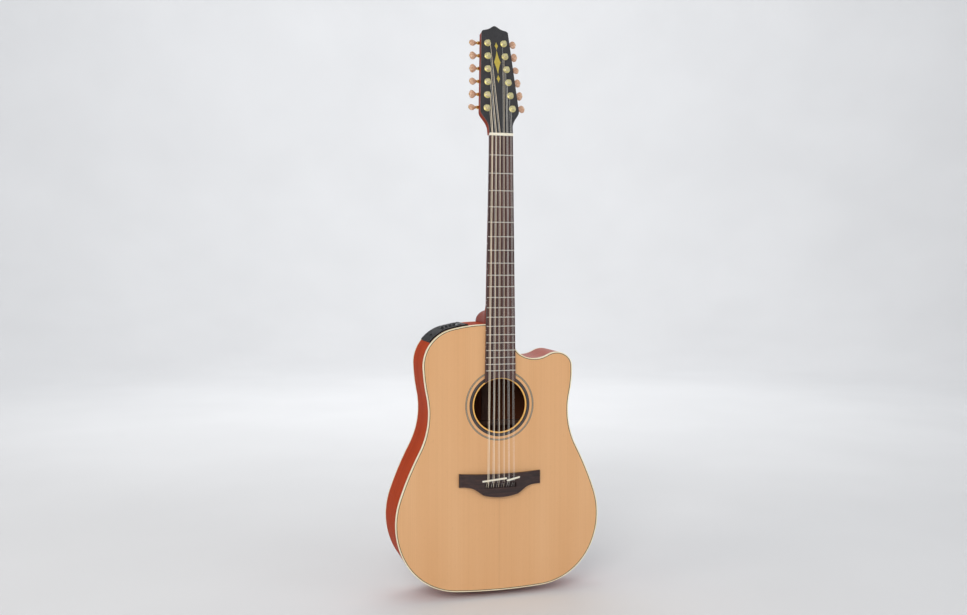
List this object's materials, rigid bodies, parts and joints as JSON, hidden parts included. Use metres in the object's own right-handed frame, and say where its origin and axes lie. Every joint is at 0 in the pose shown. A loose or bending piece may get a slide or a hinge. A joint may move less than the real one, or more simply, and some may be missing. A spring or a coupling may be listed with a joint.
{
  "type": "acoustic guitar",
  "caption": "Twelve-string acoustic-electric guitar with a dreadnought body, rounded treble-side cutaway, pinless bridge and a preamp on the bass shoulder.",
  "frame": {"origin": "mouth of the output jack in the tail, on the centre line, the lowest point of the guitar", "axes": "+Z from the tail up the neck to the headstock; -Y the side the strings are on, square to the soundboard; +X the treble side, where the cutaway is"},
  "size_m": [0.4016, 0.1345, 1.0921],
  "materials": {
    "soundboard_cedar": "gloss lacquer, straight grain",
    "sapele": "gloss lacquer, ribbon grain",
    "mahogany": "gloss lacquer",
    "rosewood": "satin, open pores",
    "spruce_braces": "bare wood",
    "block_mahogany": "bare wood",
    "ivory_binding": "gloss",
    "rosette_wood": "inlaid rings under lacquer",
    "fret_nickel": "polished",
    "bone": "polished bone",
    "black_veneer": "gloss lacquer",
    "string_metal": "bright",
    "gold_metal": "gold plate, polished",
    "tuner_key": "gold plate shaft with an amber pearl button",
    "tuner_post": "gold plate, polished",
    "rod_steel": "plain",
    "black_plastic": "fine satin",
    "grey_knobs": "satin",
    "battery_case": "printed sleeve, left plain",
    "pickup_strip": "braided strip"
  },
  "bodies": {
    "guitar": {"rosette": "rosette_wood", "soundboard": "soundboard_cedar", "back": "sapele", "kerfed_linings": "spruce_braces", "neck_block": "block_mahogany", "binding": "ivory_binding", "tail_block": "block_mahogany", "side_bass": "sapele", "side_treble": "sapele", "top_braces": "spruce_braces", "back_braces": "spruce_braces", "frets": "fret_nickel", "fretboard": "rosewood", "strings": "string_metal", "nut": "bone", "headstock_veneer": "black_veneer", "truss_rod": "rod_steel", "saddles": "bone", "bridge_plate": "rosewood", "heel_cap": "mahogany", "tuner_housings": "gold_metal", "tuner_bushings": "gold_metal", "tuner_screws": "gold_metal", "neck": "mahogany", "end_pin_jack": "gold_metal", "strap_button": "gold_metal", "preamp_case": "black_plastic", "battery": "battery_case", "pickup": "pickup_strip", "bridge": "rosewood"},
    "tuner_key_bass_1": {"tuner_key_bass_1": "tuner_key"},
    "tuner_post_bass_1": {"tuner_post_bass_1": "tuner_post"},
    "tuner_key_bass_2": {"tuner_key_bass_2": "tuner_key"},
    "tuner_post_bass_2": {"tuner_post_bass_2": "tuner_post"},
    "tuner_key_bass_3": {"tuner_key_bass_3": "tuner_key"},
    "tuner_post_bass_3": {"tuner_post_bass_3": "tuner_post"},
    "tuner_key_bass_4": {"tuner_key_bass_4": "tuner_key"},
    "tuner_post_bass_4": {"tuner_post_bass_4": "tuner_post"},
    "tuner_key_bass_5": {"tuner_key_bass_5": "tuner_key"},
    "tuner_post_bass_5": {"tuner_post_bass_5": "tuner_post"},
    "tuner_key_bass_6": {"tuner_key_bass_6": "tuner_key"},
    "tuner_post_bass_6": {"tuner_post_bass_6": "tuner_post"},
    "tuner_key_treble_1": {"tuner_key_treble_1": "tuner_key"},
    "tuner_post_treble_1": {"tuner_post_treble_1": "tuner_post"},
    "tuner_key_treble_2": {"tuner_key_treble_2": "tuner_key"},
    "tuner_post_treble_2": {"tuner_post_treble_2": "tuner_post"},
    "tuner_key_treble_3": {"tuner_key_treble_3": "tuner_key"},
    "tuner_post_treble_3": {"tuner_post_treble_3": "tuner_post"},
    "tuner_key_treble_4": {"tuner_key_treble_4": "tuner_key"},
    "tuner_post_treble_4": {"tuner_post_treble_4": "tuner_post"},
    "tuner_key_treble_5": {"tuner_key_treble_5": "tuner_key"},
    "tuner_post_treble_5": {"tuner_post_treble_5": "tuner_post"},
    "tuner_key_treble_6": {"tuner_key_treble_6": "tuner_key"},
    "tuner_post_treble_6": {"tuner_post_treble_6": "tuner_post"},
    "battery_door": {"battery_door": "black_plastic"},
    "preamp_slider_1": {"preamp_slider_1": "grey_knobs"},
    "preamp_slider_2": {"preamp_slider_2": "grey_knobs"},
    "preamp_slider_3": {"preamp_slider_3": "grey_knobs"},
    "preamp_slider_4": {"preamp_slider_4": "grey_knobs"},
    "preamp_button": {"preamp_button": "grey_knobs"}
  },
  "joints": [
    {"name": "key_turn_bass_1", "type": "hinge", "parent": "guitar", "child": "tuner_key_bass_1", "pos_m": [-0.025, -0.03413, 0.93393], "axis": [-1, 0, 0], "continuous": true},
    {"name": "post_turn_bass_1", "type": "hinge", "parent": "guitar", "child": "tuner_post_bass_1", "pos_m": [-0.025, -0.05509, 0.93026], "axis": [0, -0.9744, 0.225], "continuous": true},
    {"name": "key_turn_bass_2", "type": "hinge", "parent": "guitar", "child": "tuner_key_bass_2", "pos_m": [-0.0225, -0.02826, 0.95936], "axis": [-1, 0, 0], "continuous": true},
    {"name": "post_turn_bass_2", "type": "hinge", "parent": "guitar", "child": "tuner_post_bass_2", "pos_m": [-0.0225, -0.04922, 0.95569], "axis": [0, -0.9744, 0.225], "continuous": true},
    {"name": "key_turn_bass_3", "type": "hinge", "parent": "guitar", "child": "tuner_key_bass_3", "pos_m": [-0.0203, -0.02238, 0.98479], "axis": [-1, 0, 0], "continuous": true},
    {"name": "post_turn_bass_3", "type": "hinge", "parent": "guitar", "child": "tuner_post_bass_3", "pos_m": [-0.0203, -0.04335, 0.98112], "axis": [0, -0.9744, 0.225], "continuous": true},
    {"name": "key_turn_bass_4", "type": "hinge", "parent": "guitar", "child": "tuner_key_bass_4", "pos_m": [-0.0184, -0.01651, 1.01022], "axis": [-1, 0, 0], "continuous": true},
    {"name": "post_turn_bass_4", "type": "hinge", "parent": "guitar", "child": "tuner_post_bass_4", "pos_m": [-0.0184, -0.03748, 1.00655], "axis": [0, -0.9744, 0.225], "continuous": true},
    {"name": "key_turn_bass_5", "type": "hinge", "parent": "guitar", "child": "tuner_key_bass_5", "pos_m": [-0.0169, -0.01064, 1.03565], "axis": [-1, 0, 0], "continuous": true},
    {"name": "post_turn_bass_5", "type": "hinge", "parent": "guitar", "child": "tuner_post_bass_5", "pos_m": [-0.0169, -0.03161, 1.03198], "axis": [0, -0.9744, 0.225], "continuous": true},
    {"name": "key_turn_bass_6", "type": "hinge", "parent": "guitar", "child": "tuner_key_bass_6", "pos_m": [-0.0159, -0.00477, 1.06108], "axis": [-1, 0, 0], "continuous": true},
    {"name": "post_turn_bass_6", "type": "hinge", "parent": "guitar", "child": "tuner_post_bass_6", "pos_m": [-0.0159, -0.02573, 1.05741], "axis": [0, -0.9744, 0.225], "continuous": true},
    {"name": "key_turn_treble_1", "type": "hinge", "parent": "guitar", "child": "tuner_key_treble_1", "pos_m": [0.025, -0.03413, 0.93393], "axis": [1, 0, 0], "continuous": true},
    {"name": "post_turn_treble_1", "type": "hinge", "parent": "guitar", "child": "tuner_post_treble_1", "pos_m": [0.025, -0.05509, 0.93026], "axis": [0, -0.9744, 0.225], "continuous": true},
    {"name": "key_turn_treble_2", "type": "hinge", "parent": "guitar", "child": "tuner_key_treble_2", "pos_m": [0.0225, -0.02826, 0.95936], "axis": [1, 0, 0], "continuous": true},
    {"name": "post_turn_treble_2", "type": "hinge", "parent": "guitar", "child": "tuner_post_treble_2", "pos_m": [0.0225, -0.04922, 0.95569], "axis": [0, -0.9744, 0.225], "continuous": true},
    {"name": "key_turn_treble_3", "type": "hinge", "parent": "guitar", "child": "tuner_key_treble_3", "pos_m": [0.0203, -0.02238, 0.98479], "axis": [1, 0, 0], "continuous": true},
    {"name": "post_turn_treble_3", "type": "hinge", "parent": "guitar", "child": "tuner_post_treble_3", "pos_m": [0.0203, -0.04335, 0.98112], "axis": [0, -0.9744, 0.225], "continuous": true},
    {"name": "key_turn_treble_4", "type": "hinge", "parent": "guitar", "child": "tuner_key_treble_4", "pos_m": [0.0184, -0.01651, 1.01022], "axis": [1, 0, 0], "continuous": true},
    {"name": "post_turn_treble_4", "type": "hinge", "parent": "guitar", "child": "tuner_post_treble_4", "pos_m": [0.0184, -0.03748, 1.00655], "axis": [0, -0.9744, 0.225], "continuous": true},
    {"name": "key_turn_treble_5", "type": "hinge", "parent": "guitar", "child": "tuner_key_treble_5", "pos_m": [0.0169, -0.01064, 1.03565], "axis": [1, 0, 0], "continuous": true},
    {"name": "post_turn_treble_5", "type": "hinge", "parent": "guitar", "child": "tuner_post_treble_5", "pos_m": [0.0169, -0.03161, 1.03198], "axis": [0, -0.9744, 0.225], "continuous": true},
    {"name": "key_turn_treble_6", "type": "hinge", "parent": "guitar", "child": "tuner_key_treble_6", "pos_m": [0.0159, -0.00477, 1.06108], "axis": [1, 0, 0], "continuous": true},
    {"name": "post_turn_treble_6", "type": "hinge", "parent": "guitar", "child": "tuner_post_treble_6", "pos_m": [0.0159, -0.02573, 1.05741], "axis": [0, -0.9744, 0.225], "continuous": true},
    {"name": "battery_door_hinge", "type": "hinge", "parent": "guitar", "child": "battery_door", "pos_m": [-0.106, 0, 0.51336], "axis": [0, 1, 0], "range_deg": [0, 95]},
    {"name": "slider_1_travel", "type": "slide", "parent": "guitar", "child": "preamp_slider_1", "axis": [0, 1, 0], "range_m": [-0.008, 0.008]},
    {"name": "slider_2_travel", "type": "slide", "parent": "guitar", "child": "preamp_slider_2", "axis": [0, 1, 0], "range_m": [-0.008, 0.008]},
    {"name": "slider_3_travel", "type": "slide", "parent": "guitar", "child": "preamp_slider_3", "axis": [0, 1, 0], "range_m": [-0.008, 0.008]},
    {"name": "slider_4_travel", "type": "slide", "parent": "guitar", "child": "preamp_slider_4", "axis": [0, 1, 0], "range_m": [-0.008, 0.008]},
    {"name": "preamp_button_press", "type": "slide", "parent": "guitar", "child": "preamp_button", "axis": [0.1614, 0, -0.9869], "range_m": [0, 0.0016], "stiffness_N_per_m": 400, "springref_m": -0.001}
  ],
  "couplings": [
    {"joint": "post_turn_bass_1", "follows": "key_turn_bass_1", "ratio": 0.071429},
    {"joint": "post_turn_bass_2", "follows": "key_turn_bass_2", "ratio": 0.071429},
    {"joint": "post_turn_bass_3", "follows": "key_turn_bass_3", "ratio": 0.071429},
    {"joint": "post_turn_bass_4", "follows": "key_turn_bass_4", "ratio": 0.071429},
    {"joint": "post_turn_bass_5", "follows": "key_turn_bass_5", "ratio": 0.071429},
    {"joint": "post_turn_bass_6", "follows": "key_turn_bass_6", "ratio": 0.071429},
    {"joint": "post_turn_treble_1", "follows": "key_turn_treble_1", "ratio": 0.071429},
    {"joint": "post_turn_treble_2", "follows": "key_turn_treble_2", "ratio": 0.071429},
    {"joint": "post_turn_treble_3", "follows": "key_turn_treble_3", "ratio": 0.071429},
    {"joint": "post_turn_treble_4", "follows": "key_turn_treble_4", "ratio": 0.071429},
    {"joint": "post_turn_treble_5", "follows": "key_turn_treble_5", "ratio": 0.071429},
    {"joint": "post_turn_treble_6", "follows": "key_turn_treble_6", "ratio": 0.071429}
  ]
}
